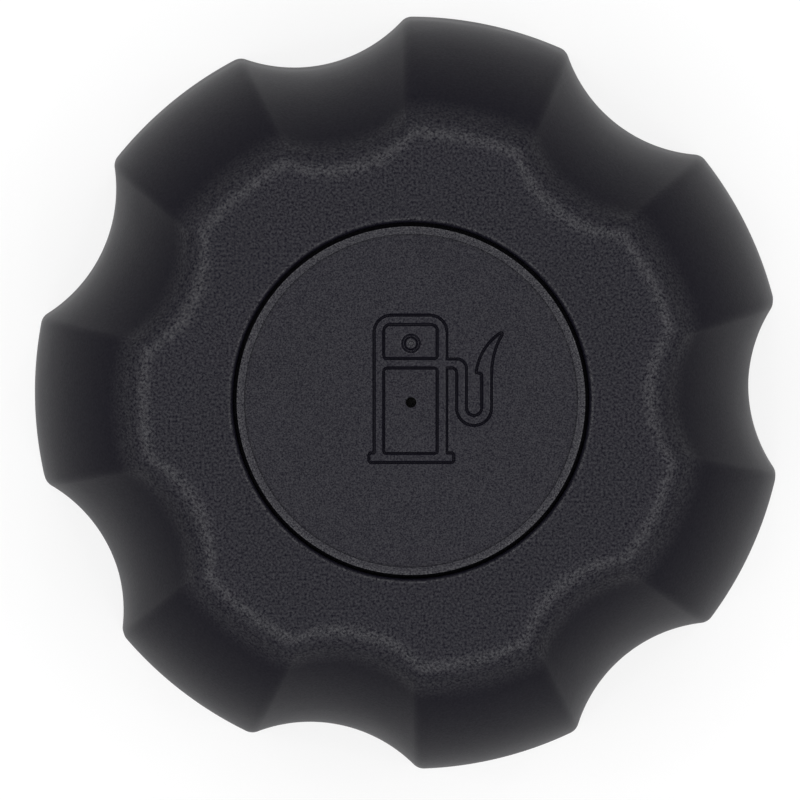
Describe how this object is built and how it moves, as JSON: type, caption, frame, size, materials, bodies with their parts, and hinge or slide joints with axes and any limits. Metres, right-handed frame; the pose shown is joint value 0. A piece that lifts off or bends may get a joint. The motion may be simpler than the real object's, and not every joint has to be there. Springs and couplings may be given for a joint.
{
  "type": "fuel filler cap",
  "caption": "Screw-on fuel filler cap with a scalloped grip that turns on a threaded closure by a one-way ratchet, a centre disc with a vent hole, and a two-way vent valve inside.",
  "frame": {"origin": "on the cap's axis, in the plane of the grip's lower rim on which the cap rests", "axes": "+Z along the axis up to the sign disc, +Y the upward direction of the sign, +X to its right; the neck enters from below along +Z"},
  "size_m": [0.0986, 0.0998, 0.045],
  "materials": {
    "grip_plastic": "fine spark-eroded black moulding",
    "disc_plastic": "smoother black moulding",
    "closure_plastic": "black glass-filled moulding",
    "acetal": "natural white moulding",
    "valve_plastic": "dark grey moulding",
    "baffle_plastic": "black moulding",
    "seal_rubber": "matt nitrile rubber",
    "zinc_steel": "zinc plated",
    "spring_steel": "bright drawn wire",
    "filter_foam": "open-cell foam"
  },
  "bodies": {
    "closure": {"closure_body": "closure_plastic", "sign_disc": "disc_plastic", "slip_washer": "acetal", "pawl_ring": "acetal", "neck_gasket": "seal_rubber", "valve_housing": "acetal", "housing_seal": "seal_rubber", "housing_screws": "zinc_steel", "pressure_spring": "spring_steel", "spring_retainer": "valve_plastic", "ball_cage": "valve_plastic", "splash_baffle": "baffle_plastic", "filter_support": "valve_plastic", "filter_pad": "filter_foam"},
    "grip": {"grip_shell": "grip_plastic"},
    "pressure_valve": {"pressure_plate": "valve_plastic", "plate_seal": "seal_rubber", "vacuum_spring": "spring_steel"},
    "vacuum_valve": {"vacuum_poppet": "valve_plastic", "poppet_clip": "spring_steel"},
    "ball": {"rollover_ball": "spring_steel"}
  },
  "joints": [
    {"name": "grip_turn", "type": "hinge", "parent": "closure", "child": "grip", "pos_m": [0, 0, 0], "axis": [0, 0, 1], "continuous": true, "deforming": ["pawl_ring"]},
    {"name": "pressure_lift", "type": "slide", "parent": "closure", "child": "pressure_valve", "axis": [0, 0, 1], "range_m": [0, 0.0015], "stiffness_N_per_m": 900, "springref_m": -0.004, "deforming": ["pressure_spring"]},
    {"name": "vacuum_drop", "type": "slide", "parent": "pressure_valve", "child": "vacuum_valve", "axis": [0, 0, -1], "range_m": [0, 0.001], "stiffness_N_per_m": 120, "springref_m": -0.002, "deforming": ["vacuum_spring"]},
    {"name": "ball_rise", "type": "slide", "parent": "closure", "child": "ball", "axis": [0, 0, 1], "range_m": [0, 0.002]}
  ]
}
